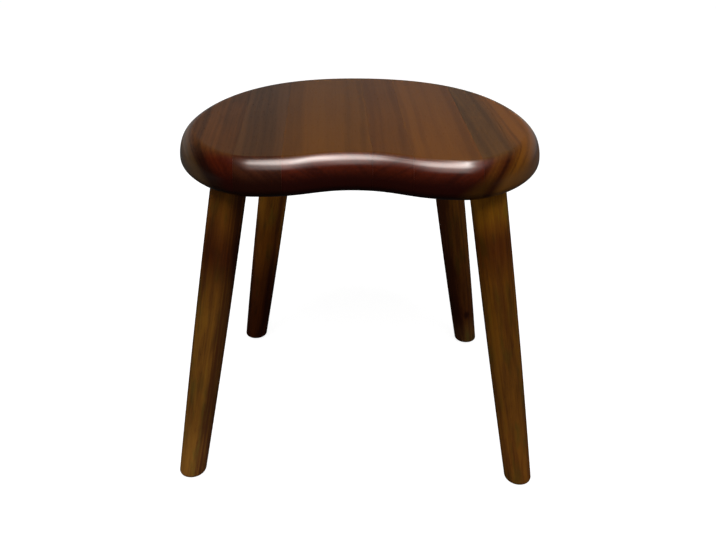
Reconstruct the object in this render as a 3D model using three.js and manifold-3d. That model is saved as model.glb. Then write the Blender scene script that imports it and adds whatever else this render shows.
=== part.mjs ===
// A low footstool: a thick kidney-shaped seat on four splayed, tapered legs.
// The seat is seven boards glued edge to edge and shaped together, with a soft rounded edge.
// Each leg seats in a shallow slanted socket under the seat. A hanger bolt in its end
// screws into a threaded insert above the socket and pulls it home.
// Millimetres, +Z up. The sitter faces -Y, and left and right are as seen from the front.

import * as THREE from 'three';
import { mergeVertices } from 'three/addons/utils/BufferGeometryUtils.js';
import Module from 'manifold-3d';

const wasm = await Module();
wasm.setup();

// Overall sizes.
const seatHeight = 340;
const seatWidth = 350;
const seatThickness = 36;

// Seat outline from above. X runs from the middle, Y runs back from the widest line.
const backReach = 188;
const lobeReach = 114;
const lobeOffset = 93;
const notchDepth = 19;

// How far each smooth curve of the outline pulls along its end tangent.
const backPull = 145;
const sidePullBack = 53;
const sidePullFront = 61;
const lobePullOut = 38;
const lobePullIn = 50;
const notchPull = 37;

// Seat edge in section: a long elliptical round-over above the fullest line, a short one below.
const fullLineHeight = 10;
const topRoundInset = 16;
const underRoundInset = 14;

// Boards: the glue joints, measured across the boards. The outer ones keep their distance from the
// nearer side of the seat, and the middle ones from its middle.
const leftJointsFromSide = [61, 103];
const middleJoints = [8, 43];
const rightJointsFromSide = [72, 40];
const boardSkewDegrees = 3.5;
const glueLine = 0.1;

// Legs. Their places are measured from the edges of the seat to the leg's axis at the underside.
const frontLegFromSide = 56;
const frontLegFromFront = 50;
const backLegFromSide = 86;
const backLegFromBack = 80;
const legSplayDegrees = 13;
const splayHeadingDegrees = 45;
const legTopRadius = 17;
const legFootRadius = 13.4;
const footRimRadius = 4;
const legEndChamfer = 1.5;

// Leg joint, measured along the leg's axis from the underside of the seat.
const socketDepth = 9;
const insertLength = 13;
const insertRadius = 6;
const insertTipLength = 2;
const insertTipTaper = 0.6;
const insertHexDepth = 4;
const insertHexWall = 0.5;
const boltRadius = 4;
const boltLength = 50;
const boltPointLength = 7;
const boltTipChamfer = 0.8;
const boltTipSetback = 1;
const boreEndRoom = 2;
const fitGap = 0.3;

// Fineness of the curved surfaces.
const outlineSteps = 160;
const topRoundSteps = 9;
const underRoundSteps = 5;
const legSides = 40;
const footRimSteps = 4;
const legTaperSteps = 6;
const hardwareSides = 20;

// Worked out from the sizes above.
const side = seatWidth / 2;
const undersideHeight = seatHeight - seatThickness;
const boardSkew = THREE.MathUtils.degToRad(boardSkewDegrees);
const legSplay = THREE.MathUtils.degToRad(legSplayDegrees);
const splayHeading = THREE.MathUtils.degToRad(splayHeadingDegrees);
const boltReach = fitGap + insertLength - boltTipSetback;

// Leaves only shared positions, and drops the empty triangles that a revolve has on its axis.
function closedMesh(geometry) {
  const bare = geometry.clone();
  bare.deleteAttribute('normal');
  bare.deleteAttribute('uv');
  const merged = mergeVertices(bare, 1e-4);
  const corners = merged.index.array;
  const kept = [];
  for (let i = 0; i < corners.length; i += 3) {
    const [a, b, c] = [corners[i], corners[i + 1], corners[i + 2]];
    if (a !== b && b !== c && c !== a) {
      kept.push(a, b, c);
    }
  }
  merged.setIndex(kept);
  return merged;
}

function toSolid(geometry) {
  const closed = closedMesh(geometry);
  return new wasm.Manifold(new wasm.Mesh({
    numProp: 3,
    vertProperties: new Float32Array(closed.attributes.position.array),
    triVerts: new Uint32Array(closed.index.array),
  }));
}

function toGeometry(solid) {
  const mesh = solid.getMesh();
  const geometry = new THREE.BufferGeometry();
  geometry.setAttribute('position', new THREE.BufferAttribute(mesh.vertProperties, 3));
  geometry.setIndex(new THREE.BufferAttribute(mesh.triVerts, 1));
  return geometry;
}

// Skins a stack of rings, lowest first. Each ring has the same number of points and runs
// anticlockwise seen from above, and the first and last rings are closed flat.
function loft(rings) {
  const count = rings[0].length;
  const cap = THREE.ShapeUtils.triangulateShape(rings[0].map((p) => new THREE.Vector2(p.x, p.y)), []);
  const topStart = (rings.length - 1) * count;
  const triangles = [];
  for (const [a, b, c] of cap) {
    triangles.push(c, b, a);
    triangles.push(topStart + a, topStart + b, topStart + c);
  }
  for (let ring = 0; ring < rings.length - 1; ring++) {
    for (let i = 0; i < count; i++) {
      const next = (i + 1) % count;
      const low = ring * count;
      const high = low + count;
      triangles.push(low + i, low + next, high + next);
      triangles.push(low + i, high + next, high + i);
    }
  }
  const geometry = new THREE.BufferGeometry().setFromPoints(rings.flat());
  geometry.setIndex(triangles);
  return geometry;
}

// Revolves [radius, height] pairs, lowest first, about Z.
function revolve(profile, sides) {
  const points = profile.map(([radius, height]) => new THREE.Vector2(radius, height));
  return new THREE.LatheGeometry(points, sides).rotateX(Math.PI / 2);
}

// Points of the kidney outline, anticlockwise from the notch at the front.
function seatOutline() {
  const lobeY = -lobeReach;
  const notchY = lobeY + notchDepth;
  const point = (x, y) => new THREE.Vector2(x, y);
  const notch = point(0, notchY);
  const lobe = point(lobeOffset, lobeY);
  const widest = point(side, 0);
  const back = point(0, backReach);
  const rightHalf = [
    [notch, point(notchPull, notchY), point(lobeOffset - lobePullIn, lobeY), lobe],
    [lobe, point(lobeOffset + lobePullOut, lobeY), point(side, -sidePullFront), widest],
    [widest, point(side, sidePullBack), point(backPull, backReach), back],
  ];
  const mirrored = (curve) => curve.map((p) => point(-p.x, p.y)).reverse();
  const leftHalf = rightHalf.map(mirrored).reverse();
  const shape = new THREE.Shape();
  for (const controls of [...rightHalf, ...leftHalf]) {
    shape.curves.push(new THREE.CubicBezierCurve(...controls));
  }
  return shape.getSpacedPoints(outlineSteps).slice(0, outlineSteps);
}

// The outline moved inwards by an even margin, at a height.
function insetRing(outline, inset, height) {
  return outline.map((point, i) => {
    const before = outline.at(i - 1);
    const after = outline[(i + 1) % outline.length];
    const along = after.clone().sub(before).normalize();
    return new THREE.Vector3(point.x - along.y * inset, point.y + along.x * inset, height);
  });
}

// The whole seat before it is parted into boards. Its underside is at z = 0.
function seatBlank() {
  const outline = seatOutline();
  const rings = [];
  for (let step = 0; step < underRoundSteps; step++) {
    const turn = (Math.PI / 2) * (step / underRoundSteps);
    const inset = underRoundInset * (1 - Math.sin(turn));
    rings.push(insetRing(outline, inset, fullLineHeight * (1 - Math.cos(turn))));
  }
  for (let step = 0; step <= topRoundSteps; step++) {
    const turn = (Math.PI / 2) * (step / topRoundSteps);
    const inset = topRoundInset * (1 - Math.cos(turn));
    rings.push(insetRing(outline, inset, fullLineHeight + (seatThickness - fullLineHeight) * Math.sin(turn)));
  }
  return toSolid(loft(rings));
}

// The void that a leg and its insert need in the seat, in the leg's own frame.
function socketCutter() {
  const socketRadius = legTopRadius + fitGap;
  const insertBore = insertRadius + fitGap;
  const boreEnd = socketDepth + insertLength + boreEndRoom;
  return revolve([
    [0, -2 * legTopRadius],
    [socketRadius, -2 * legTopRadius],
    [socketRadius, socketDepth],
    [insertBore, socketDepth],
    [insertBore, boreEnd],
    [0, boreEnd],
  ], legSides);
}

// One board: the slice of the seat between two glue joints.
function seatBoard(blank, from, to) {
  const reach = seatWidth + backReach + lobeReach;
  const slab = new THREE.BoxGeometry(to - from, 2 * reach, 4 * seatThickness);
  slab.translate((from + to) / 2, 0, 0);
  slab.rotateZ(boardSkew);
  return blank.intersect(toSolid(slab));
}

// A turned leg about Z, seat end up, z = 0 where its axis passes the underside of the seat.
// Its foot is cut level with the floor, which leans against the axis by the splay. It is
// barrelled: nearly straight under the seat, and drawn in more and more toward the foot.
function legGeometry() {
  const legEnd = socketDepth - fitGap;
  const ring = (radius, heightAt) => Array.from({ length: legSides }, (_, i) => {
    const turn = (2 * Math.PI * i) / legSides;
    const x = radius * Math.cos(turn);
    return new THREE.Vector3(x, radius * Math.sin(turn), heightAt(x));
  });
  const levelWith = (floorHeight) => (x) =>
    (floorHeight - undersideHeight - x * Math.sin(legSplay)) / Math.cos(legSplay);
  const rings = [];
  for (let step = 0; step <= footRimSteps; step++) {
    const turn = (Math.PI / 2) * (step / footRimSteps);
    const inset = footRimRadius * (1 - Math.sin(turn));
    rings.push(ring(legFootRadius - inset, levelWith(footRimRadius * (1 - Math.cos(turn)))));
  }
  const footLevel = levelWith(footRimRadius);
  for (let step = 1; step <= legTaperSteps; step++) {
    const down = 1 - step / legTaperSteps;
    const radius = legTopRadius - (legTopRadius - legFootRadius) * down * down;
    rings.push(ring(radius, (x) => down * footLevel(x)));
  }
  rings.push(ring(legTopRadius, () => legEnd - legEndChamfer));
  rings.push(ring(legTopRadius - legEndChamfer, () => legEnd));

  const boreRadius = boltRadius + fitGap;
  const boreDepth = boltLength - boltReach + boreEndRoom;
  const bore = new THREE.CylinderGeometry(boreRadius, boreRadius, 2 * boreDepth, hardwareSides);
  bore.rotateX(Math.PI / 2);
  bore.translate(0, 0, legEnd);
  return toGeometry(toSolid(loft(rings)).subtract(toSolid(bore)));
}

// Hanger bolt: a pointed wood screw in the leg below, a blunt machine screw in the insert above.
function hangerBoltGeometry() {
  const top = socketDepth - fitGap + boltReach;
  const point = top - boltLength;
  return closedMesh(revolve([
    [0, point],
    [boltRadius, point + boltPointLength],
    [boltRadius, top - boltTipChamfer],
    [boltRadius - boltTipChamfer, top],
    [0, top],
  ], hardwareSides));
}

// Threaded insert: a sleeve with a tapered leading end and a hexagon at its mouth to drive it.
function insertGeometry() {
  const bore = boltRadius + fitGap;
  const mouth = socketDepth;
  const end = mouth + insertLength;
  const sleeve = revolve([
    [bore, mouth],
    [insertRadius, mouth],
    [insertRadius, end - insertTipLength],
    [insertRadius - insertTipTaper, end],
    [bore, end],
    [bore, mouth],
  ], hardwareSides);
  const hexRadius = (bore + insertHexWall) / Math.cos(Math.PI / 6);
  const hex = new THREE.CylinderGeometry(hexRadius, hexRadius, 2 * insertHexDepth, 6);
  hex.rotateX(Math.PI / 2);
  hex.translate(0, 0, mouth);
  return toGeometry(toSolid(sleeve).subtract(toSolid(hex)));
}

function named(name, geometry, material) {
  const mesh = new THREE.Mesh(geometry, material);
  mesh.name = name;
  return mesh;
}

function lacquered(color) {
  return new THREE.MeshStandardMaterial({ color, roughness: 0.25, metalness: 0 });
}

const amber = lacquered(0x6a3e22);
const umber = lacquered(0x4b3627);
const honey = lacquered(0x65432a);
const russet = lacquered(0x6a4329);
const boardTones = [amber, umber, honey, russet, honey, umber, amber];
const legWood = new THREE.MeshStandardMaterial({ color: 0x4a3417, roughness: 0.6, metalness: 0 });
const steel = new THREE.MeshStandardMaterial({ color: 0x9a9b98, roughness: 0.4, metalness: 1 });

const frontLegX = side - frontLegFromSide;
const frontLegY = frontLegFromFront - lobeReach;
const backLegX = side - backLegFromSide;
const backLegY = backReach - backLegFromBack;
const stations = [
  { name: 'front_left', x: -frontLegX, y: frontLegY, heading: Math.PI + splayHeading },
  { name: 'front_right', x: frontLegX, y: frontLegY, heading: -splayHeading },
  { name: 'back_left', x: -backLegX, y: backLegY, heading: Math.PI - splayHeading },
  { name: 'back_right', x: backLegX, y: backLegY, heading: splayHeading },
];

// The frame of one leg: at the underside of the seat, leaning outwards along its heading.
function legFrame(station) {
  const frame = new THREE.Group();
  frame.position.set(station.x, station.y, 0);
  frame.rotation.set(0, -legSplay, station.heading, 'ZYX');
  frame.updateMatrix();
  return frame;
}

// Everything is hung from the underside of the seat, z = 0 in this group.
const hungFromSeat = new THREE.Group();
hungFromSeat.position.z = undersideHeight;

let blank = seatBlank();
for (const station of stations) {
  const cutter = socketCutter().applyMatrix4(legFrame(station).matrix);
  blank = blank.subtract(toSolid(cutter));
}
const edges = [
  -seatWidth,
  ...leftJointsFromSide.map((fromSide) => fromSide - side),
  ...middleJoints,
  ...rightJointsFromSide.map((fromSide) => side - fromSide),
  seatWidth,
];
for (let i = 0; i < edges.length - 1; i++) {
  const board = seatBoard(blank, edges[i] + glueLine / 2, edges[i + 1] - glueLine / 2);
  if (!board.isEmpty()) {
    hungFromSeat.add(named(`seat_board_${i + 1}`, toGeometry(board), boardTones[i % boardTones.length]));
  }
}

const leg = legGeometry();
const hangerBolt = hangerBoltGeometry();
const insert = insertGeometry();
for (const station of stations) {
  const frame = legFrame(station);
  frame.add(named(`leg_${station.name}`, leg, legWood));
  frame.add(named(`hanger_bolt_${station.name}`, hangerBolt, steel));
  frame.add(named(`threaded_insert_${station.name}`, insert, steel));
  hungFromSeat.add(frame);
}

// The origin is on the floor, at the middle of the stool's length and width.
const stool = new THREE.Group();
stool.add(hungFromSeat);
const middle = new THREE.Box3().setFromObject(stool, true).getCenter(new THREE.Vector3());
stool.position.set(-middle.x, -middle.y, 0);

export default stool;
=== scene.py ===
# %% [markdown]
# A kidney-shaped footstool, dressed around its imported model.
#
# The real stool is a thick seat on four turned legs. The seat is seven boards, glued edge to edge,
# then sawn to a kidney, rounded over and lacquered. The legs are tapered, splayed and left matt.
# Each leg stands in a slanted socket and is held by a hanger bolt and a threaded insert.
#
# This lesson builds each of those pieces as a surface worked out with numpy, and gives each one a
# procedural finish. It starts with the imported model, which fixes where everything is.

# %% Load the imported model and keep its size
import math

import bpy
import numpy as np
from mathutils import Euler, Matrix, Vector


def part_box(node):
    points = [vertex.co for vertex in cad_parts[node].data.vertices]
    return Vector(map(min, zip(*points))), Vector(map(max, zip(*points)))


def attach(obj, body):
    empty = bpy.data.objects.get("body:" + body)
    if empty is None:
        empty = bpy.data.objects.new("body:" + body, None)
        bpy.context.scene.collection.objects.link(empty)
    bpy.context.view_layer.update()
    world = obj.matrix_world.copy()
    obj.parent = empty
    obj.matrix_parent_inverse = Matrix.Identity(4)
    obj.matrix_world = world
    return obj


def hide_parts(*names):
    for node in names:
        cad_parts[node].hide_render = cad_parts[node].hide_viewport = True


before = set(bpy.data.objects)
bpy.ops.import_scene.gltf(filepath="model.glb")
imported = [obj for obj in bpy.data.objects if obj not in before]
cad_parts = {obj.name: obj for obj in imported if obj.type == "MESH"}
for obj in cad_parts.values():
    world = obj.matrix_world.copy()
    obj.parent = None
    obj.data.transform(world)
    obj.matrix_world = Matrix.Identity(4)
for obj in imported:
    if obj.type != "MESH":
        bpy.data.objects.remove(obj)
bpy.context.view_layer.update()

# %% [markdown]
# The camera comes first, because every finish is seen through it. The view is from the front,
# a little above the seat and close, so that the legs lean apart toward the floor. The place and the
# turns were found by lining the outline of the stool up with the photograph.

# %% Camera
camera_place = Vector((0.01605, -0.81485, 0.58417))
camera_lens_mm = 41.82
camera_yaw = math.radians(1.221)
camera_pitch = math.radians(-27.284)
camera_roll = math.radians(0.46)

camera = bpy.data.objects.new("camera", bpy.data.cameras.new("camera"))
bpy.context.scene.collection.objects.link(camera)
camera.data.lens = camera_lens_mm
camera.matrix_world = (
    Matrix.Translation(camera_place)
    @ Matrix.Rotation(camera_yaw, 4, "Z")
    @ Matrix.Rotation(math.pi / 2 + camera_pitch, 4, "X")
    @ Matrix.Rotation(camera_roll, 4, "Z")
)
bpy.context.scene.camera = camera
bpy.context.scene.view_settings.view_transform = "Standard"
print(f"camera {camera_place.length:.2f} m from the origin, {camera_lens_mm} mm lens")

# %% [markdown]
# The sizes that the pieces share. Blender works in metres, so each size is a number of millimetres
# times mm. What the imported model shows, such as the seat's height and width, is read from it.

# %% Sizes of the seat
mm = 0.001
board_names = sorted(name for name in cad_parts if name.startswith("seat_board_"))
seat_corners = np.array([corner for name in board_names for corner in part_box(name)])
seat_low = seat_corners.min(axis=0)
seat_high = seat_corners.max(axis=0)
underside_height = seat_low[2]
seat_height = seat_high[2]
side = (seat_high[0] - seat_low[0]) / 2

lobe_reach = 114 * mm
widest_line = seat_low[1] + lobe_reach
back_reach = seat_high[1] - widest_line
lobe_offset = 93 * mm
notch_depth = 19 * mm

back_pull = 145 * mm
side_pull_back = 53 * mm
side_pull_front = 61 * mm
lobe_pull_out = 38 * mm
lobe_pull_in = 50 * mm
notch_pull = 37 * mm

full_line_height = 10 * mm
top_round_inset = 16 * mm
under_round_inset = 14 * mm

board_skew = math.radians(3.5)
glue_line = 0.1 * mm
left_joints_from_side = [61 * mm, 103 * mm]
middle_joints = [8 * mm, 43 * mm]
right_joints_from_side = [72 * mm, 40 * mm]
print(f"seat {2000 * side:.1f} mm wide, {1000 * (seat_high[1] - seat_low[1]):.1f} mm deep")

# %% [markdown]
# Most pieces here are a stack of rings: a grid of points with one row for each ring and one column
# for each step around it. The helper below turns such a grid into a closed mesh. It joins each ring
# to the next with four-sided faces, and either closes the first and last rings to a point or joins
# the last ring back to the first. Writing whole arrays into the mesh is much quicker than adding
# points one by one.

# %% From a grid of points to a closed mesh
smooth_below = math.radians(32)


def mesh_from_rings(name, rings, looped=False):
    """A closed mesh from rings[row, column] = point.

    Column c runs anticlockwise seen against the way the rows climb, so the faces point outwards.
    Unless looped, all the points of the first ring are one point, and so are those of the last.
    """
    rows, columns, _ = rings.shape
    number = np.arange(rows * columns).reshape(rows, columns)
    points = rings.reshape(-1, 3)
    if looped:
        above = np.roll(number, -1, axis=0)
    else:
        number = np.maximum(number - (columns - 1), 0)
        number[-1] = number[-1, 0]
        points = np.concatenate([rings[0, :1], rings[1:-1].reshape(-1, 3), rings[-1, :1]])
        above = number[1:]
        number = number[:-1]
    around = np.roll(number, -1, axis=1)
    above_around = np.roll(above, -1, axis=1)
    corners = np.stack([number, around, above_around, above], axis=-1)
    if looped:
        fours = corners.reshape(-1, 4)
        threes = np.empty((0, 3), int)
    else:
        fours = corners[1:-1].reshape(-1, 4)
        threes = np.concatenate([corners[0][:, [0, 2, 3]], corners[-1][:, [0, 1, 2]]])

    mesh = bpy.data.meshes.new(name)
    mesh.vertices.add(len(points))
    mesh.vertices.foreach_set("co", points.astype(np.float32).ravel())
    mesh.loops.add(fours.size + threes.size)
    mesh.loops.foreach_set("vertex_index", np.concatenate([fours.ravel(), threes.ravel()]).astype(np.int32))
    mesh.polygons.add(len(fours) + len(threes))
    starts = np.concatenate([4 * np.arange(len(fours)), fours.size + 3 * np.arange(len(threes))])
    mesh.polygons.foreach_set("loop_start", starts.astype(np.int32))
    mesh.update(calc_edges=True)
    mesh.validate()
    return mesh


def show(name, mesh):
    """Puts a mesh in the scene, smooth except where its faces meet at a marked angle."""
    mesh.polygons.foreach_set("use_smooth", np.ones(len(mesh.polygons), bool))
    mesh.set_sharp_from_angle(angle=smooth_below)
    piece = bpy.data.objects.new(name, mesh)
    bpy.context.scene.collection.objects.link(piece)
    return piece


def standing_for(piece, node):
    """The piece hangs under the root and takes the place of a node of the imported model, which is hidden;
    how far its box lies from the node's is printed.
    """
    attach(piece, "root")
    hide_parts(node)
    low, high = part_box(node)
    reach = np.array([corner[:] for corner in piece.bound_box])
    off = max(np.abs(reach.min(axis=0) - low).max(), np.abs(reach.max(axis=0) - high).max())
    print(f"{piece.name}: {len(piece.data.vertices)} points, within {1000 * off:.2f} mm of {node}")


# %% [markdown]
# The outline of the seat is a kidney: two round lobes in front with a shallow notch between them,
# and one long round back. Six smooth curves draw it, each with a start, an end and two pulls along
# its tangents. The points are then spread evenly along it, so that the faces of the rounded edge
# are all of one width and the reflections in it run without a ripple.

# %% Outline of the seat
outline_columns = 1400
curve_steps = 400


def bezier(controls):
    """A cubic curve: four points, each times its Bernstein weight of t, added for t from 0 to below 1."""
    t = np.arange(curve_steps)[:, None] / curve_steps
    start, first_pull, second_pull, end = np.array(controls)
    return (
        (1 - t) ** 3 * start
        + 3 * (1 - t) ** 2 * t * first_pull
        + 3 * (1 - t) * t**2 * second_pull
        + t**3 * end
    )


def seat_outline():
    """The kidney: points evenly spaced anticlockwise from the notch, outward normals, and the length."""
    lobe_line = -lobe_reach
    notch_line = lobe_line + notch_depth
    notch = (0, notch_line)
    lobe = (lobe_offset, lobe_line)
    widest = (side, 0)
    back = (0, back_reach)
    right_half = [
        [notch, (notch_pull, notch_line), (lobe_offset - lobe_pull_in, lobe_line), lobe],
        [lobe, (lobe_offset + lobe_pull_out, lobe_line), (side, -side_pull_front), widest],
        [widest, (side, side_pull_back), (back_pull, back_reach), back],
    ]
    left_half = [[(-x, y) for x, y in reversed(curve)] for curve in reversed(right_half)]
    drawn = np.concatenate([bezier(curve) for curve in right_half + left_half])
    closed = np.concatenate([drawn, drawn[:1]])
    run = np.concatenate([[0], np.cumsum(np.linalg.norm(np.diff(closed, axis=0), axis=1))])
    even = run[-1] * np.arange(outline_columns) / outline_columns
    points = np.stack([np.interp(even, run, closed[:, axis]) for axis in (0, 1)], axis=1)
    points[:, 1] += widest_line
    along = np.roll(points, -1, axis=0) - np.roll(points, 1, axis=0)
    along /= np.linalg.norm(along, axis=1, keepdims=True)
    return points, np.stack([along[:, 1], -along[:, 0]], axis=1), run[-1]


outline, outward, outline_length = seat_outline()
outline_step = outline_length / outline_columns
print(f"outline {1000 * outline_length:.0f} mm round, a point every {1000 * outline_step:.2f} mm")

# %% [markdown]
# The edge in section is two quarter ellipses that meet at the fullest line: a long one above and
# a short one below. On the real stool a router and a sanding drum leave this bullnose. Each row of
# the grid is one step along that section, and the same section is carried round the whole outline.

# %% The seat before it is parted into boards
top_round_steps = 44
under_round_steps = 20
flat_shares = np.array([0, 0.3, 0.6, 0.85, 0.96, 0.99])


def seat_blank():
    """The seat as rings: each is middle + share * (outline - inset * normal - middle), at a height.

    Below the fullest line the inset is a(1 - sin t) and the height b(1 - cos t), with t from 0 to a
    quarter turn. Above it the inset is A(1 - cos t) and the height grows by B sin t.
    """
    under = np.linspace(0, math.pi / 2, under_round_steps, endpoint=False)
    upper = np.linspace(0, math.pi / 2, top_round_steps + 1)
    top_round_height = seat_height - underside_height - full_line_height
    inset = np.concatenate([
        np.full(len(flat_shares), under_round_inset),
        under_round_inset * (1 - np.sin(under)),
        top_round_inset * (1 - np.cos(upper)),
        np.full(len(flat_shares), top_round_inset),
    ])
    height = np.concatenate([
        np.zeros(len(flat_shares)),
        full_line_height * (1 - np.cos(under)),
        full_line_height + top_round_height * np.sin(upper),
        np.full(len(flat_shares), full_line_height + top_round_height),
    ])
    share = np.ones(len(inset))
    share[: len(flat_shares)] = flat_shares
    share[-len(flat_shares) :] = flat_shares[::-1]
    middle = np.array([0, outline[:, 1].mean()])
    ring = outline - inset[:, None, None] * outward
    flat = middle + share[:, None, None] * (ring - middle)
    level = np.broadcast_to((underside_height + height)[:, None, None], (*flat.shape[:2], 1))
    return np.concatenate([flat, level], axis=2)


blank = show("seat_blank", mesh_from_rings("seat_blank", seat_blank()))
print(f"seat blank: {len(blank.data.vertices)} points")

# %% [markdown]
# Each leg has a frame of its own: its origin is where the leg's axis passes the underside of the
# seat, and its Z axis runs up the leg. Everything round and slanted is made upright about Z in that
# frame and then carried into place, which keeps the formulas as plain as on a lathe.

# %% Frames of the legs
front_leg_from_side = 56 * mm
front_leg_from_front = 50 * mm
back_leg_from_side = 86 * mm
back_leg_from_back = 80 * mm
leg_splay = math.radians(13)
splay_heading = math.radians(45)

front_leg = (side - front_leg_from_side, seat_low[1] + front_leg_from_front)
back_leg = (side - back_leg_from_side, seat_high[1] - back_leg_from_back)
stations = {
    "front_left": (-front_leg[0], front_leg[1], math.pi + splay_heading),
    "front_right": (front_leg[0], front_leg[1], -splay_heading),
    "back_left": (-back_leg[0], back_leg[1], math.pi - splay_heading),
    "back_right": (back_leg[0], back_leg[1], splay_heading),
}


def leg_place(station):
    """Where a leg's frame lies."""
    x, y, _ = stations[station]
    return Vector((x, y, underside_height))


def leg_turn(station):
    """How a leg's frame is turned: leaned outwards by the splay, then swung to its heading."""
    return Euler((0, -leg_splay, stations[station][2]))


def into_leg_frame(points, station):
    """Points of a leg's own frame, moved to where that leg is."""
    turn = np.array(leg_turn(station).to_matrix())
    return points @ turn.T + np.array(leg_place(station))


# %% [markdown]
# A lathe shape is a profile of radius and height carried round an axis. The sockets in the seat are
# cut by such shapes: a wide recess for the end of the leg, and a narrow bore above it for the
# threaded insert. The manifold Boolean is used because it is quick on dense closed meshes.

# %% Sockets under the seat
leg_top_radius = 17 * mm
fit_gap = 0.3 * mm
socket_depth = 9 * mm
insert_radius = 6 * mm
insert_length = 13 * mm
bore_end_room = 2 * mm
socket_columns = 120


def revolved(profile, columns):
    """Rings on a lathe: radius r and height z at turn a give the point (r cos a, r sin a, z)."""
    radius, height = np.array(profile).T
    turn = 2 * math.pi * np.arange(columns) / columns
    return np.stack([
        radius[:, None] * np.cos(turn),
        radius[:, None] * np.sin(turn),
        np.repeat(height[:, None], columns, axis=1),
    ], axis=2)


def boolean(piece, tool, operation):
    """The mesh that is left when the tool has worked on the piece."""
    step = piece.modifiers.new("boolean", "BOOLEAN")
    step.operation = operation
    step.solver = "MANIFOLD"
    step.object = tool
    evaluated = piece.evaluated_get(bpy.context.evaluated_depsgraph_get())
    mesh = bpy.data.meshes.new_from_object(evaluated)
    piece.modifiers.remove(step)
    return mesh


socket_radius = leg_top_radius + fit_gap
insert_bore = insert_radius + fit_gap
bore_end = socket_depth + insert_length + bore_end_room
socket_profile = [
    (0, -2 * leg_top_radius),
    (socket_radius, -2 * leg_top_radius),
    (socket_radius, socket_depth),
    (insert_bore, socket_depth),
    (insert_bore, bore_end),
    (0, bore_end),
]
for station in stations:
    socket_rings = into_leg_frame(revolved(socket_profile, socket_columns), station)
    cutter = show("cutter", mesh_from_rings("cutter", socket_rings))
    blank.data = boolean(blank, cutter, "DIFFERENCE")
    bpy.data.objects.remove(cutter)
print(f"seat blank with {len(stations)} sockets: {len(blank.data.vertices)} points")

# %% [markdown]
# Parting the blank into boards is one Boolean for each board, with a slab between two glue joints.
# The boards lie a little askew, as in the photograph, and the joints stay a tenth of a millimetre
# open, so that each shows as a fine faint line, as a glued joint does.

# %% Seven boards
board_reach = 2 * (seat_high[1] - seat_low[1])
joints = [
    *[from_side - side for from_side in left_joints_from_side],
    *middle_joints,
    *[side - from_side for from_side in right_joints_from_side],
]
board_edges = [-2 * side, *joints, 2 * side]


def slab(start, end):
    """A box between two lines across the boards, turned with them: a stack of rings of four corners."""
    middle = (start + end) / 2
    across = np.array([end, end, start, start])
    along = np.array([-1, 1, 1, -1]) * board_reach
    corners = np.stack([across, along], axis=1)
    foot = np.repeat([[middle, 0]], 4, axis=0)
    level = np.array([0, 0, 1, 1]) * 2 * seat_height
    flat = np.stack([foot, corners, corners, foot])
    cosine = math.cos(board_skew)
    sine = math.sin(board_skew)
    flat = flat @ np.array([[cosine, sine], [-sine, cosine]]) + np.array([0, widest_line])
    return np.concatenate([flat, np.repeat(level[:, None, None], 4, axis=1)], axis=2)


boards = []
left_slots = ["amber_board", "umber_board", "honey_board"]
board_slots = [*left_slots, "russet_board", *reversed(left_slots)]
for index, node in enumerate(board_names):
    start = board_edges[index] + glue_line / 2
    end = board_edges[index + 1] - glue_line / 2
    cutter = show("cutter", mesh_from_rings("cutter", slab(start, end)))
    board_mesh = boolean(blank, cutter, "INTERSECT")
    bpy.data.objects.remove(cutter)
    board = show(f"board_{index + 1}", board_mesh)
    standing_for(board, node)
    boards.append(board)
bpy.data.objects.remove(blank)

# %% [markdown]
# A leg comes off the lathe as a soft barrel: nearly straight under the seat, and drawn in more and
# more toward the foot. The foot is cut level with the floor and its rim is rounded, and the other
# end has a small chamfer and a bore for the hanger bolt. The level cut is the one thing a lathe
# can't do, so the foot's rings lean: their height depends on where round the leg a point is.

# %% Legs
leg_foot_radius = 13.4 * mm
foot_rim_radius = 4 * mm
leg_end_chamfer = 1.5 * mm
leg_columns = 128
foot_rim_steps = 12
taper_rows = 40
bolt_radius = 4 * mm
bolt_length = 50 * mm
bolt_tip_setback = 1 * mm
bolt_reach = fit_gap + insert_length - bolt_tip_setback
leg_end = socket_depth - fit_gap


def leg_rings():
    """The leg as rings, foot first: radius r at turn a gives (r cos a, r sin a), at a height.

    A ring that is level with the floor at height h lies at (h - underside - x sin splay) / cos splay.
    Above the rim a row is d of the way down, from 1 to 0. Its radius is top - (top - foot) d^2, and
    its height is d times the height of the level ring at the rim, so the rows turn upright by degrees.
    """
    turn = 2 * math.pi * np.arange(leg_columns) / leg_columns

    def ring(radius, height):
        x = radius * np.cos(turn)
        return np.stack([x, radius * np.sin(turn), np.broadcast_to(height(x), x.shape)], axis=1)

    def level_with(floor_height):
        return lambda x: (floor_height - underside_height - x * math.sin(leg_splay)) / math.cos(leg_splay)

    def upright(height):
        return lambda x: height + 0 * x

    def barrel(down):
        radius = leg_top_radius - (leg_top_radius - leg_foot_radius) * down**2
        return ring(radius, lambda x: down * level_with(foot_rim_radius)(x))

    quarter = np.linspace(0, math.pi / 2, foot_rim_steps + 1)
    foot = [ring(share * (leg_foot_radius - foot_rim_radius), level_with(0)) for share in (0, 0.5)]
    rim = [
        ring(
            leg_foot_radius - foot_rim_radius * (1 - math.sin(t)),
            level_with(foot_rim_radius * (1 - math.cos(t))),
        )
        for t in quarter
    ]
    taper = [barrel(down) for down in np.linspace(1, 0, taper_rows + 1)[1:]]
    bore_radius = bolt_radius + fit_gap
    bore_depth = bolt_length - bolt_reach + bore_end_room
    end = [
        ring(leg_top_radius, upright(leg_end - leg_end_chamfer)),
        ring(leg_top_radius - leg_end_chamfer, upright(leg_end)),
        ring(bore_radius, upright(leg_end)),
        ring(bore_radius, upright(leg_end - bore_depth)),
        ring(0, upright(leg_end - bore_depth)),
    ]
    return np.stack([*foot, *rim, *taper, *end])


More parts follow.
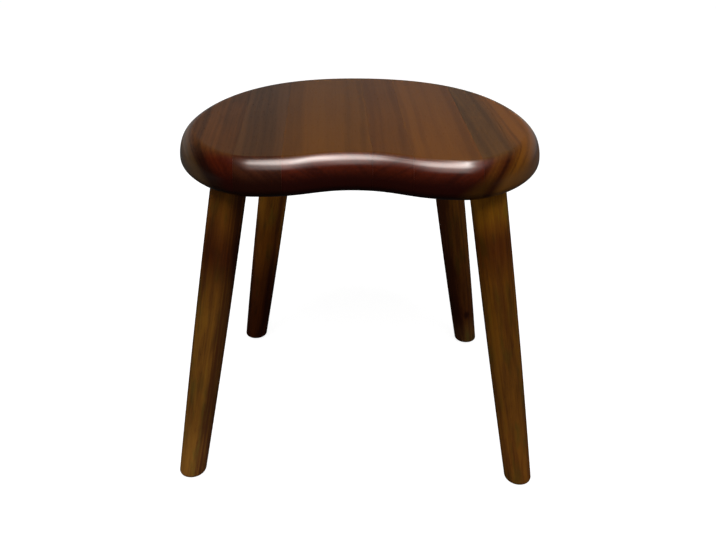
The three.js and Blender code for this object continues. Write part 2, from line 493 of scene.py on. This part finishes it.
legs = {}
for station in stations:
    rings = into_leg_frame(leg_rings(), station)
    leg = show(f"turned_leg_{station}", mesh_from_rings(f"turned_leg_{station}", rings))
    standing_for(leg, f"leg_{station}")
    legs[station] = leg

# %% [markdown]
# The hardware is hidden once the stool is together, but it is what holds it together, so it has its
# threads. A thread is a height field on a cylinder: the radius is the root radius plus a ridge
# whose place climbs by one pitch for each turn. The bolt and the inside of the insert read the same
# ridge, so the two screw into each other.

# %% Hanger bolts and threaded inserts
machine_pitch = 1.25 * mm
machine_root = 3.4 * mm
wood_pitch = 3 * mm
wood_root = 2.9 * mm
plain_shank = (0 * mm, 5 * mm)
bolt_point_length = 7 * mm
bolt_tip_chamfer = 0.8 * mm
thread_clearance = 0.2 * mm
insert_pitch = 3 * mm
insert_root = 5.1 * mm
insert_tip_length = 2 * mm
insert_tip_taper = 0.6 * mm
insert_hex_depth = 4 * mm
insert_hex_wall = 0.5 * mm
hardware_columns = 48
hardware_step = 0.25 * mm


def ridge(turn, height, pitch, sharpness):
    """How high a thread stands: 1 half a pitch from the helix height = pitch * turn / 2 pi, 0 on it."""
    phase = np.mod(height / pitch - turn / (2 * math.pi), 1)
    return np.clip(1 - sharpness * np.abs(2 * phase - 1), 0, 1)


def machine_thread(turn, height):
    """Radius of the machine thread that the bolt and the insert share."""
    return machine_root + (bolt_radius - machine_root) * ridge(turn, height, machine_pitch, 1.1)


def rings_at(radius, height, turn):
    """Points of a round surface whose radius and height are given at each row and turn."""
    height = np.broadcast_to(height, radius.shape)
    return np.stack([radius * np.cos(turn), radius * np.sin(turn), height], axis=2)


def hanger_bolt_rings():
    """The bolt from its point up: wood thread, plain shank, machine thread, flat end."""
    turn = 2 * math.pi * np.arange(hardware_columns)[None, :] / hardware_columns
    top = leg_end + bolt_reach
    point = top - bolt_length
    height = np.arange(point, top, hardware_step)[:, None]
    wood = wood_root + (bolt_radius - wood_root) * ridge(turn, height, wood_pitch, 2.2)
    wood = wood * np.clip((height - point) / bolt_point_length, 0, 1)
    radius = np.where(height < plain_shank[0], wood, machine_thread(turn, height))
    in_shank = (height >= plain_shank[0]) & (height < plain_shank[1])
    radius = np.where(in_shank, machine_root, radius)
    radius = np.minimum(radius, bolt_radius - np.clip(height - top + bolt_tip_chamfer, 0, None))
    radius[0] = 0
    body = rings_at(radius, height, turn)
    end = rings_at(np.outer([bolt_radius - bolt_tip_chamfer, 0], np.ones(hardware_columns)), top, turn)
    return np.concatenate([body, end])


def threaded_insert_rings():
    """The sleeve as a loop of rings: up the outside, over the end, down the inside, out of the hexagon."""
    turn = 2 * math.pi * np.arange(hardware_columns)[None, :] / hardware_columns
    mouth = socket_depth
    end = mouth + insert_length
    hex_end = mouth + insert_hex_depth
    rising = np.arange(mouth, end, hardware_step)[:, None]
    near_tip = np.clip(rising - (end - insert_tip_length), 0, None) * insert_tip_taper / insert_tip_length
    outside = insert_root + (insert_radius - insert_root) * ridge(turn, rising, insert_pitch, 2) - near_tip
    falling = np.arange(end, hex_end, -hardware_step)[:, None]
    inside = machine_thread(turn, falling) + thread_clearance
    in_flat = np.mod(turn, math.pi / 3) - math.pi / 6
    hexagon = (bolt_radius + fit_gap + insert_hex_wall) / np.cos(in_flat)
    return np.concatenate([
        rings_at(outside, rising, turn),
        rings_at(inside, falling, turn),
        rings_at(np.repeat(hexagon, 2, axis=0), np.array([[hex_end], [mouth]]), turn),
    ])


hardware = []
for station in stations:
    for kind, rings, looped in (
        ("hanger_bolt", hanger_bolt_rings(), False),
        ("threaded_insert", threaded_insert_rings(), True),
    ):
        mesh = mesh_from_rings(kind, into_leg_frame(rings, station), looped)
        piece = show(f"{station}_{kind}", mesh)
        standing_for(piece, f"{kind}_{station}")
        hardware.append(piece)

# %% [markdown]
# A finish is a network of nodes, but most of it is arithmetic on numbers that change over the
# surface. The small class below lets that arithmetic be written as Python: a Reading is one output
# of a node, and adding or multiplying two of them adds the Math node that does it. Every other kind
# of node comes from one method, which takes the node's settings and what goes into its sockets.

# %% Finishes written as expressions
class Reading:
    """A number or colour that a finish reads at each point of a surface."""

    def __init__(self, finish, socket):
        self.finish = finish
        self.socket = socket

    def maths(self, operation, *values):
        return self.finish.node("ShaderNodeMath", {"operation": operation}, dict(enumerate(values)))

    def __add__(self, other):
        return self.maths("ADD", self, other)

    def __sub__(self, other):
        return self.maths("SUBTRACT", self, other)

    def __mul__(self, other):
        return self.maths("MULTIPLY", self, other)

    def __truediv__(self, other):
        return self.maths("DIVIDE", self, other)

    def __pow__(self, other):
        return self.maths("POWER", self, other)

    def __rsub__(self, other):
        return self.maths("SUBTRACT", other, self)

    def __neg__(self):
        return self.maths("MULTIPLY", self, -1)

    __radd__ = __add__
    __rmul__ = __mul__

    def exp(self):
        return self.maths("EXPONENT", self)

    def size(self):
        return self.maths("ABSOLUTE", self)

    def at_least(self, other):
        return self.maths("MAXIMUM", self, other)

    def step(self, start, end):
        """0 below start, 1 above end, and a soft rise between."""
        return self.finish.node(
            "ShaderNodeMapRange",
            {"interpolation_type": "SMOOTHSTEP"},
            {"Value": self, "From Min": start, "From Max": end},
        )


class Finish:
    """The node network of a material or of the world."""

    def __init__(self, owner):
        owner.use_nodes = True
        self.owner = owner
        self.tree = owner.node_tree
        self.tree.nodes.clear()

    def node(self, kind, settings=None, inputs=None, output=0):
        made = self.tree.nodes.new(kind)
        for name, value in (settings or {}).items():
            setattr(made, name, value)
        for place, value in (inputs or {}).items():
            if isinstance(value, Reading):
                self.tree.links.new(value.socket, made.inputs[place])
            else:
                made.inputs[place].default_value = value
        return Reading(self, made.outputs[output]) if made.outputs else None

    def blend(self, share, first, second, how="MIX"):
        """A colour between two: the Mix node's colour sockets are its seventh and eighth."""
        settings = {"data_type": "RGBA", "blend_type": how}
        return self.node("ShaderNodeMix", settings, {0: share, 6: first, 7: second}, output=2)

    def object_point(self):
        return self.node("ShaderNodeTexCoord", output="Object")

    def facing(self, way):
        """1 where the surface faces that way, -1 where it faces the other way, 0 square to it."""
        normal = self.node("ShaderNodeNewGeometry", output="Normal")
        return self.node("ShaderNodeVectorMath", {"operation": "DOT_PRODUCT"}, {0: normal, 1: way}, "Value")

    def distance(self, point, place):
        return self.node("ShaderNodeVectorMath", {"operation": "DISTANCE"}, {0: point, 1: place}, "Value")

    def own_frame(self, place, turn):
        """The point in a frame that lies at place and is turned by turn."""
        return self.node(
            "ShaderNodeMapping",
            {"vector_type": "TEXTURE"},
            {"Vector": self.object_point(), "Location": place, "Rotation": turn},
        )

    def axes(self, point):
        split = self.node("ShaderNodeSeparateXYZ", inputs={0: point}).socket.node
        return [Reading(self, socket) for socket in split.outputs]

    def stretched(self, point, factors):
        return self.node("ShaderNodeVectorMath", {"operation": "MULTIPLY"}, {0: point, 1: factors})

    def noise(self, point, size, detail):
        """Soft random values, about 0.5, with features of that size: (across, along, up) in metres."""
        scaled = self.stretched(point, tuple(1 / length for length in size))
        return self.node("ShaderNodeTexNoise", inputs={"Vector": scaled, "Scale": 1, "Detail": detail})

    def lines(self, place, width, detail):
        """Soft random values along one number only, with features of that width."""
        sockets = {"W": place / width, "Scale": 1, "Detail": detail}
        return self.node("ShaderNodeTexNoise", {"noise_dimensions": "1D"}, sockets)

    def bump(self, height, distance, strength):
        """A normal bent by a height of that many metres."""
        sockets = {"Height": height, "Distance": distance, "Strength": strength}
        return self.node("ShaderNodeBump", inputs=sockets)

    def principled(self, **sockets):
        named = {name.replace("_", " "): value for name, value in sockets.items()}
        shader = self.node("ShaderNodeBsdfPrincipled", inputs=named)
        self.node("ShaderNodeOutputMaterial", inputs={"Surface": shader})
        return self.owner


def colour(red, green, blue):
    return (red, green, blue, 1)


def new_finish(name):
    return Finish(bpy.data.materials.new(name))


print("finishes can be written as expressions")

# %% [markdown]
# Seat wood. Wood is a solid, so its pattern is worked out in space and not painted on: rings about
# a pith that lies somewhere under the board, fibres that run along it, and pores between them. Cut
# anywhere, such a pattern shows long streaks on top, arcs on the front edge and flames on the sides,
# with no joint at the corner. The front and back edges are end grain. It drinks more stain, so it
# turns a deep red brown. Inside some rings the wood is heartwood of another colour, which draws the
# dark and olive arcs at both ends of the seat.
#
# The lacquer over everything is a clear, glossy coat of half weight. A full coat is taken for a
# mirror by the filter that clears a render's noise, wherever it is seen at a low angle, and the top
# comes out speckled. So the coat is halved, and the light that it reflects is twice as strong.

# %% Lacquered boards
seat_frame_place = Vector((0, widest_line, seat_height))
seat_frame_turn = Euler((0, 0, board_skew))
sway_size = (90 * mm, 260 * mm, 90 * mm)
sway_reach = 12 * mm
ring_width = 7 * mm
fibre_size = (1.8 * mm, 60 * mm, 1.8 * mm)
patch_size = (34 * mm, 120 * mm, 34 * mm)
pore_size = (0.45 * mm, 9 * mm, 0.45 * mm)
ring_share = 0.62
fibre_share = 0.22
patch_share = 0.16
pore_share = 0.12
deepest = 1.15
early = (0.0, 0.24)
usual = (0.03, 0.62)
end_raggedness = 0.12
low_edge = (7 * mm, 22 * mm)
low_raggedness = 4 * mm
heart_softness = 6 * mm
lacquer_weight = 0.5
lacquer_roughness = 0.14
lacquer_ior = 1.5
wood_gloss = 0.03


def end_colours(light, dark, low):
    """End grain: where it is light, where it is dark, and low down on the rounded edge, where it turns to a
    third colour.
    """
    return {"light": light, "dark": dark, "low": low}


red_end = end_colours((0.052, 0.0058, 0.0006), (0.024, 0.0022, 0.0003), (0.014, 0.0015, 0.0005))
black_end = end_colours((0.018, 0.0028, 0.0006), (0.007, 0.0010, 0.0004), (0.012, 0.003, 0.001))
brown_end = end_colours((0.095, 0.028, 0.002), (0.030, 0.006, 0.0006), (0.035, 0.012, 0.001))
dark_end = end_colours((0.040, 0.0055, 0.0006), (0.012, 0.0015, 0.0004), (0.018, 0.003, 0.0008))
umber_end = end_colours((0.038, 0.0090, 0.0025), (0.018, 0.0035, 0.0010), (0.012, 0.002, 0.0006))
amber_end = end_colours((0.150, 0.050, 0.003), (0.050, 0.012, 0.0005), (0.110, 0.042, 0.006))
olive_end = end_colours((0.095, 0.045, 0.012), (0.055, 0.025, 0.006), (0.060, 0.030, 0.010))


def bell(reading, middle, width):
    """1 at the middle and falling to nothing a few widths away."""
    gap = (reading - middle) / width
    return (gap * gap * -1).exp()


def lacquered_wood(name, light, dark, pith, streaks, end=red_end, hearts=(), end_shows=usual, lean=0):
    """One board of the seat.

    pith is where the rings have their middle, as (across, above) in the seat's frame.
    streaks are bands that follow the rings, each (across, half width, strength) where it meets the
    top: they are darker than the rest, or lighter where the strength is below 0.
    end holds the colours of the end grain, and end_shows how far the surface has turned to the
    fibres' ends where it begins to show and where nothing else does.
    hearts are colours that take over inside a ring, each (where the ring meets the top, colours).
    lean is how far the rings wander across for each metre along the board.
    """
    finish = new_finish(name)
    point = finish.own_frame(seat_frame_place, seat_frame_turn)
    across, along, above = finish.axes(point)

    sway = finish.noise(point, sway_size, detail=1) - 0.5
    leaning = across + sway * sway_reach + along * lean
    from_pith = ((leaning - pith[0]) ** 2 + (above - pith[1]) ** 2) ** 0.5
    rings = finish.lines(from_pith, ring_width, detail=2).step(0.3, 0.75)
    fibre = finish.noise(point, fibre_size, detail=1)
    patches = finish.noise(point, patch_size, detail=2).step(0.3, 0.7)
    pores = finish.noise(point, pore_size, detail=1).step(0.64, 0.74)

    depth = rings * ring_share + fibre.step(0.25, 0.8) * fibre_share + patches * patch_share
    for place, half_width, strength in streaks:
        radius = math.hypot(place - pith[0], pith[1])
        slant = abs(place - pith[0]) / radius
        depth = depth + bell(from_pith, radius, half_width * slant) * strength
    depth = (depth + pores * pore_share).at_least(0).step(0, deepest)

    along_grain = finish.facing((-math.sin(board_skew), math.cos(board_skew), 0)).size()
    end_grain = (along_grain + (fibre - 0.5) * end_raggedness).step(*end_shows)
    low_down = (-above + (fibre - 0.5) * low_raggedness).step(*low_edge)

    def shade(light, dark, end):
        """The wood where its fibres are cut along, and at their ends where they are cut across."""
        long_colour = finish.blend(depth, colour(*light), colour(*dark))
        end_colour = finish.blend(depth, colour(*end["light"]), colour(*end["dark"]))
        end_colour = finish.blend(low_down, end_colour, colour(*end["low"]))
        return finish.blend(end_grain, long_colour, end_colour)

    base = shade(light, dark, end)
    for place, heartwood_and_painted_shade in hearts:
        ring = math.hypot(place - pith[0], pith[1])
        inside = (ring - from_pith).step(-heart_softness, heart_softness)
        base = finish.blend(inside, base, shade(**heartwood_and_painted_shade))
    return finish.principled(
        Base_Color=base,
        Roughness=0.42 + pores * 0.2,
        Coat_Weight=lacquer_weight,
        Coat_Roughness=lacquer_roughness,
        Coat_IOR=lacquer_ior,
        Specular_IOR_Level=wood_gloss,
    )


left_wood = {"light": (0.090, 0.031, 0.0068), "dark": (0.025, 0.0100, 0.0035)}
honey_wood = {"light": (0.112, 0.039, 0.0066), "dark": (0.071, 0.025, 0.0053)}
umber_wood = {"light": (0.077, 0.033, 0.0084), "dark": (0.043, 0.0192, 0.0061)}
olive_heart = {"light": (0.089, 0.037, 0.0086), "dark": (0.037, 0.0148, 0.0042), "end": olive_end}
amber_heart = {"light": (0.127, 0.043, 0.0055), "dark": (0.037, 0.0118, 0.0029), "end": amber_end}
right_pith = (0.2145, -0.105)
board_woods = [
    {**left_wood, "pith": (-0.241, -0.101),
     "hearts": [(-147 * mm, {**left_wood, "end": black_end}), (-168 * mm, olive_heart)],
     "streaks": [(-157 * mm, 6 * mm, 0.2), (-119 * mm, 6 * mm, 0.35)]},
    {"light": (0.065, 0.027, 0.0089), "dark": (0.034, 0.0148, 0.0055), "pith": (-0.17, -0.11),
     "end": umber_end, "end_shows": early,
     "streaks": [(-100 * mm, 5 * mm, 0.4), (-86 * mm, 5 * mm, 0.3), (-74 * mm, 5 * mm, -0.4)]},
    {"light": (0.096, 0.035, 0.0057), "dark": (0.063, 0.023, 0.0044), "pith": (-0.12, -0.12),
     "streaks": [(-66 * mm, 7 * mm, 0.5), (-36 * mm, 10 * mm, -0.4), (-12 * mm, 7 * mm, 0.2)]},
    {"light": (0.093, 0.033, 0.0062), "dark": (0.061, 0.021, 0.0049), "pith": (0.10, -0.12),
     "streaks": [(16 * mm, 6 * mm, 0.25), (34 * mm, 5 * mm, 0.1)]},
    {**honey_wood, "pith": (0.17, -0.13), "hearts": [(147 * mm, {**honey_wood, "end": brown_end})],
     "streaks": [(54 * mm, 6 * mm, -0.25), (82 * mm, 7 * mm, 0.2), (98 * mm, 4 * mm, 0.6)]},
    {**umber_wood, "pith": right_pith, "lean": 0.06,
     "hearts": [
         (111 * mm, {**umber_wood, "end": brown_end}),
         (124 * mm, {**umber_wood, "end": dark_end}),
         (137 * mm, amber_heart),
     ],
     "streaks": [(106 * mm, 3 * mm, 0.3), (131 * mm, 6 * mm, 0.15)]},
    {**umber_wood, "pith": right_pith, "lean": 0.06, "end": dark_end,
     "hearts": [(137 * mm, amber_heart)],
     "streaks": [(131 * mm, 6 * mm, 0.15), (150 * mm, 8 * mm, -0.3)]},
]
for board, slot, wood in zip(boards, board_slots, board_woods):
    finish = lacquered_wood(f"{slot}_{board.name[-1]}", **wood)
    # The Boolean leaves an empty slot in each board, and its faces would take that one.
    board.data.materials.clear()
    board.data.materials.append(finish)
print(f"{len(boards)} boards finished")

# %% [markdown]
# Leg wood. The legs were stained apart from the seat and left matt, so they are olive brown with
# an open grain that can be felt. The same solid-wood idea serves, in each leg's own frame, with the
# fibres running up the leg. A turned leg shows its rings as long flames, because the taper cuts
# across them at a small angle. Up each leg the colour is multiplied by a few stops, which are partly
# uneven staining and partly painted light and shade: painted shade of the seat near the top of the
# front left leg, painted light there on the front right one and on the back ones, the back ones
# darker toward the foot and the front ones lighter toward it. Each leg also has a darker side,
# partly heartwood and partly painted shade, which on most legs faces the other legs, where less
# light reaches.

# %% Matt legs
leg_light = (0.150, 0.057, 0.004)
leg_dark = (0.049, 0.0135, 0.002)
leg_olive = (0.100, 0.052, 0.004)
leg_sway_size = (40 * mm, 40 * mm, 190 * mm)
leg_sway_reach = (8 * mm, 6 * mm)
leg_ring_width = 3.6 * mm
leg_fibre_size = (1.1 * mm, 1.1 * mm, 38 * mm)
leg_patch_size = (9 * mm, 9 * mm, 65 * mm)
leg_pore_size = (0.4 * mm, 0.4 * mm, 7 * mm)
leg_olive_size = (8 * mm, 8 * mm, 36 * mm)
leg_ring_share = 0.38
leg_fibre_share = 0.27
leg_patch_share = 0.35
leg_pore_share = 0.3
leg_gloss = 0.06
knot_radius = 3 * mm
knot_squeeze = 0.6
knot_strength = 1.1


def matt_wood(name, station, pith, heartwood_and_painted_shade, darker_side_strength, stain_and_painted_light, knot=None):
    """The wood of one leg, in that leg's frame: X and Y across it, Z up it.

    pith is where the rings have their middle, as (x, y).
    The number after pith is the way that the leg's darker side faces, in degrees anticlockwise from
    the right, and the one after that says how much darker it is. That side is partly heartwood and
    partly painted shade: on most legs it faces the other legs, where less light reaches.
    The stops up the leg, lowest first, each give three numbers that its red, green and blue are
    multiplied by there: below 1 it is darker, and above 1 lighter. They are partly where the wood was
    stained unevenly and partly painted light and shade, such as near the seat.
    knot is the place of a dark knot, if the leg has one.
    """
    finish = new_finish(name)
    point = finish.own_frame(leg_place(station), leg_turn(station))
    x, y, z = finish.axes(point)

    sway = finish.noise(point, leg_sway_size, detail=1) - 0.5
    from_pith_x = x + sway * leg_sway_reach[0] - pith[0]
    from_pith_y = y + sway * leg_sway_reach[1] - pith[1]
    from_pith = (from_pith_x**2 + from_pith_y**2) ** 0.5
    rings = finish.lines(from_pith, leg_ring_width, detail=4).step(0.3, 0.72)
    fibre = finish.noise(point, leg_fibre_size, detail=3)
    patches = finish.noise(point, leg_patch_size, detail=3).step(0.35, 0.65)
    pores = finish.noise(point, leg_pore_size, detail=1).step(0.62, 0.74)

    darker_side_turn = math.radians(heartwood_and_painted_shade) - stations[station][2]
    toward_darker_side = (x * math.cos(darker_side_turn) + y * math.sin(darker_side_turn)) / leg_top_radius
    depth = rings * leg_ring_share + fibre.step(0.25, 0.8) * leg_fibre_share + patches * leg_patch_share
    # Painted shade, partly heartwood: the side that faces the given heading is made darker.
    depth = depth + (toward_darker_side + sway * 0.8).step(0.1, 0.9) * darker_side_strength
    if knot:
        squeezed = finish.stretched(point, (1, 1, knot_squeeze))
        gap = finish.distance(squeezed, (knot[0], knot[1], knot_squeeze * knot[2]))
        depth = depth + bell(gap, 0, knot_radius) * knot_strength
    depth = (depth + pores * leg_pore_share).step(0, deepest)

    olive = finish.noise(point, leg_olive_size, detail=2).step(0.48, 0.68)
    light = finish.blend(olive, colour(*leg_light), colour(*leg_olive))
    wood = finish.blend(depth, light, colour(*leg_dark))
    # The stops, blended from one to the next: partly uneven staining and partly painted light and shade.
    below, factors = stain_and_painted_light[0]
    stain_and_light_factor = colour(*factors)
    for place, factors in stain_and_painted_light[1:]:
        stain_and_light_factor = finish.blend(z.step(below, place), stain_and_light_factor, colour(*factors))
        below = place
    return finish.principled(
        Base_Color=finish.blend(1, wood, stain_and_light_factor, "MULTIPLY"),
        Roughness=0.55 + fibre * 0.15,
        Specular_IOR_Level=leg_gloss,
        Normal=finish.bump(fibre * 0.6 - pores, 0.06 * mm, 0.7),
    )


# The stops paint light and shade as well as staining: painted shade of the seat near the top of the front
# left leg, painted light near the top of the front right leg and up the back legs.
leg_woods = {
    "front_left": {
        "pith": (0.030, 0.012), "heartwood_and_painted_shade": 0, "darker_side_strength": 0.45,
        "stain_and_painted_light": [
            (-0.300, (1.8, 2.0, 4.0)), (-0.230, (1.2, 1.3, 1.9)), (-0.140, (1.15, 1.25, 1.5)),
            (-0.070, (0.36, 0.21, 0.08)), (-0.010, (1.1, 1.0, 1.2)),
        ],
    },
    "front_right": {
        "pith": (-0.026, 0.02), "heartwood_and_painted_shade": 30, "darker_side_strength": 0.1,
        "stain_and_painted_light": [
            (-0.290, (1.2, 1.1, 1.4)), (-0.200, (0.93, 0.9, 0.9)), (-0.110, (0.88, 0.82, 0.35)),
            (-0.055, (0.64, 0.44, 0.05)), (-0.010, (2.2, 2.3, 1.4)),
        ],
    },
    "back_left": {
        "pith": (0.022, -0.03), "heartwood_and_painted_shade": -10, "darker_side_strength": 0.15,
        "stain_and_painted_light": [
            (-0.260, (0.45, 0.25, 0.25)), (-0.220, (0.65, 0.42, 0.5)), (-0.150, (1.6, 1.25, 1.0)),
            (-0.100, (2.6, 2.5, 2.4)),
        ],
    },
    "back_right": {
        "pith": (-0.03, -0.022), "heartwood_and_painted_shade": 195, "darker_side_strength": 0.55,
        "stain_and_painted_light": [
            (-0.300, (1.3, 1.5, 3.6)), (-0.260, (0.65, 0.45, 0.8)), (-0.200, (1.0, 0.8, 0.9)),
            (-0.100, (1.65, 1.5, 1.9)),
        ],
        "knot": (-0.006, -0.0125, -0.262),
    },
}
# The darker side of each leg is partly painted shade.
for station, wood in leg_woods.items():
    legs[station].data.materials.append(matt_wood(f"leg_wood_{station}", station, **wood))
print(f"{len(legs)} legs finished")

# %% [markdown]
# Plated steel. Zinc plate is a bright grey with a faint mottle, duller where it was handled.

# %% Plated steel
def plated_steel():
    finish = new_finish("plated_steel")
    mottle = finish.noise(finish.object_point(), (3 * mm, 3 * mm, 3 * mm), detail=4)
    base = finish.blend(mottle.step(0.35, 0.7), colour(0.42, 0.43, 0.42), colour(0.30, 0.29, 0.25))
    return finish.principled(
        Base_Color=base,
        Metallic=1.0,
        Roughness=0.28 + mottle * 0.25,
        Normal=finish.bump(mottle, 0.01 * mm, 0.4),
    )


steel = plated_steel()
for piece in hardware:
    piece.data.materials.append(steel)
print(f"{len(hardware)} fittings finished")

# %% [markdown]
# The studio. The floor and the world are plain white to the camera, and the floor still takes the
# stool's shadow. On other rays both are a soft grey, so that the white doesn't flood the wood with
# light from below.

# %% White floor and world
ambient_level = 0.28
floor_bounce = 0.25
floor_colour = 0.5
floor_glow = 0.86
floor_reach = 8.0


def looked_at(finish):
    """1 where a ray looks at the surface: from the camera, off something glossy or through glass."""
    rays = [
        finish.node("ShaderNodeLightPath", output=kind)
        for kind in ("Is Camera Ray", "Is Glossy Ray", "Is Transmission Ray")
    ]
    return rays[0].at_least(rays[1]).at_least(rays[2])


world = bpy.data.worlds.new("white_studio")
bpy.context.scene.world = world
finish = Finish(world)
strength = ambient_level + looked_at(finish) * (1 - ambient_level)
sky = finish.node("ShaderNodeBackground", inputs={"Color": colour(1, 1, 1), "Strength": strength})
finish.node("ShaderNodeOutputWorld", inputs={"Surface": sky})


def plane(name, width, depth, place):
    """A flat four-cornered sheet that faces up, with its middle at place."""
    corners = np.array([(-1, -1, 0), (1, -1, 0), (1, 1, 0), (-1, 1, 0)]) * (width / 2, depth / 2, 1)
    mesh = bpy.data.meshes.new(name)
    mesh.from_pydata((corners + np.array(place)).tolist(), [], [(0, 1, 2, 3)])
    sheet = bpy.data.objects.new(name, mesh)
    bpy.context.scene.collection.objects.link(sheet)
    return sheet


floor = plane("floor", 2 * floor_reach, 2 * floor_reach, (0, 0, 0))
finish = new_finish("white_floor")
seen = looked_at(finish)
level = floor_bounce + seen * (floor_colour - floor_bounce)
grey = finish.node("ShaderNodeCombineColor", inputs={0: level, 1: level, 2: level})
matt = finish.node("ShaderNodeBsdfDiffuse", inputs={"Color": grey})
glow = finish.node("ShaderNodeEmission", inputs={"Color": colour(1, 1, 1), "Strength": seen * floor_glow})
both = finish.node("ShaderNodeAddShader", inputs={0: matt, 1: glow})
finish.node("ShaderNodeOutputMaterial", inputs={"Surface": both})
floor.data.materials.append(finish.owner)
print("white floor and world")

# %% [markdown]
# The light is one big soft lamp overhead. It is made twice: an area lamp that lights the stool at
# a plain level, and a sheet with a few soft glowing spots that only the lacquer sees, which draws
# the long highlight along the rounded front. Photographers hang dark cloth round glossy wood to
# keep its colour deep. That cloth is here too, as a dark tent that only reflections see, with a
# faint glow low down behind and beside the stool, where the white backdrop shows. Where each glow
# fades in toward the back, and out on the way up, is given in shares of the tent's radius.

# %% Lamp, highlight and dark tent
lamp_place = Vector((0.0, -0.75, 1.45))
lamp_target = Vector((0, 0, 0.25))
lamp_width = 1.2
lamp_power = 20.0
sheen_height = 1.14
sheen_sheet = 2.4
sheen_spots = [
    {"place": (0.05, -0.38), "width": (0.32, 0.20), "falloff": 4.2, "peak": 20.0},
    {"place": (0.23, -0.07), "width": (0.045, 0.14), "falloff": 1.3, "peak": 44.0},
    {"place": (0.12, -0.55), "width": (0.38, 0.47), "falloff": 2.5, "peak": 7.2},
    {"place": (-0.05, -0.08), "width": (0.19, 0.06), "falloff": 4.0, "peak": 9.0},
]
sheen_colour = (1, 0.93, 0.88)
tent_level = 0.018
glow_behind = {"strength": 0.30, "back": (0.3, 0.8), "up": (0.2, 0.5)}
glow_beside = {"strength": 0.08, "back": (0.05, 0.45), "up": (0.0, 0.12), "spread": 0.8}
tent_radius = 3.0
tent_columns = 64
tent_rows = 16
tent_clearance = 1 * mm


def only_in_gloss(stage_piece):
    """Leaves a stage piece to glossy rays alone."""
    stage_piece.visible_camera = False
    stage_piece.visible_diffuse = False
    stage_piece.visible_transmission = False
    stage_piece.visible_shadow = False


lamp = bpy.data.objects.new("overhead_lamp", bpy.data.lights.new("overhead_lamp", "AREA"))
bpy.context.scene.collection.objects.link(lamp)
lamp.data.shape = "DISK"
lamp.data.size = lamp_width
lamp.data.energy = lamp_power
lamp.location = lamp_place
lamp.rotation_euler = (lamp_target - lamp_place).to_track_quat("-Z", "Y").to_euler()
lamp.visible_camera = False
lamp.visible_glossy = False

sheen = plane("sheen_sheet", sheen_sheet, sheen_sheet, (0, 0, sheen_height))
finish = new_finish("soft_sheen")
x, y, _ = finish.axes(finish.object_point())
strength = tent_level
for spot in sheen_spots:
    right = (x - spot["place"][0]) / spot["width"][0]
    behind = (y - spot["place"][1]) / spot["width"][1]
    off_middle = (right**2 + behind**2) ** 0.5
    strength = (off_middle ** spot["falloff"] * -0.5).exp() * spot["peak"] + strength
glow = finish.node("ShaderNodeEmission", inputs={"Color": colour(*sheen_colour), "Strength": strength})
finish.node("ShaderNodeOutputMaterial", inputs={"Surface": glow})
sheen.data.materials.append(finish.owner)
only_in_gloss(sheen)

tent_profile = [(0, tent_clearance)]
for row in range(tent_rows + 1):
    rise = math.pi / 2 * row / tent_rows
    tent_profile.append((tent_radius * math.cos(rise), tent_clearance + tent_radius * math.sin(rise)))
tent = show("dark_tent", mesh_from_rings("dark_tent", revolved(tent_profile, tent_columns)))
finish = new_finish("dark_cloth")
right, back, up = [reading / tent_radius for reading in finish.axes(finish.object_point())]
behind = back.step(*glow_behind["back"]) * (1 - up.step(*glow_behind["up"]))
round_back = back + right.size() * glow_beside["spread"]
beside = round_back.step(*glow_beside["back"]) * (1 - up.step(*glow_beside["up"]))
strength = (behind * glow_behind["strength"]).at_least(beside * glow_beside["strength"]) + tent_level
cloth = finish.node("ShaderNodeEmission", inputs={"Color": colour(1, 1, 1), "Strength": strength})
finish.node("ShaderNodeOutputMaterial", inputs={"Surface": cloth})
tent.data.materials.append(finish.owner)
only_in_gloss(tent)
print("one soft lamp overhead, seen in the lacquer against a dark tent")
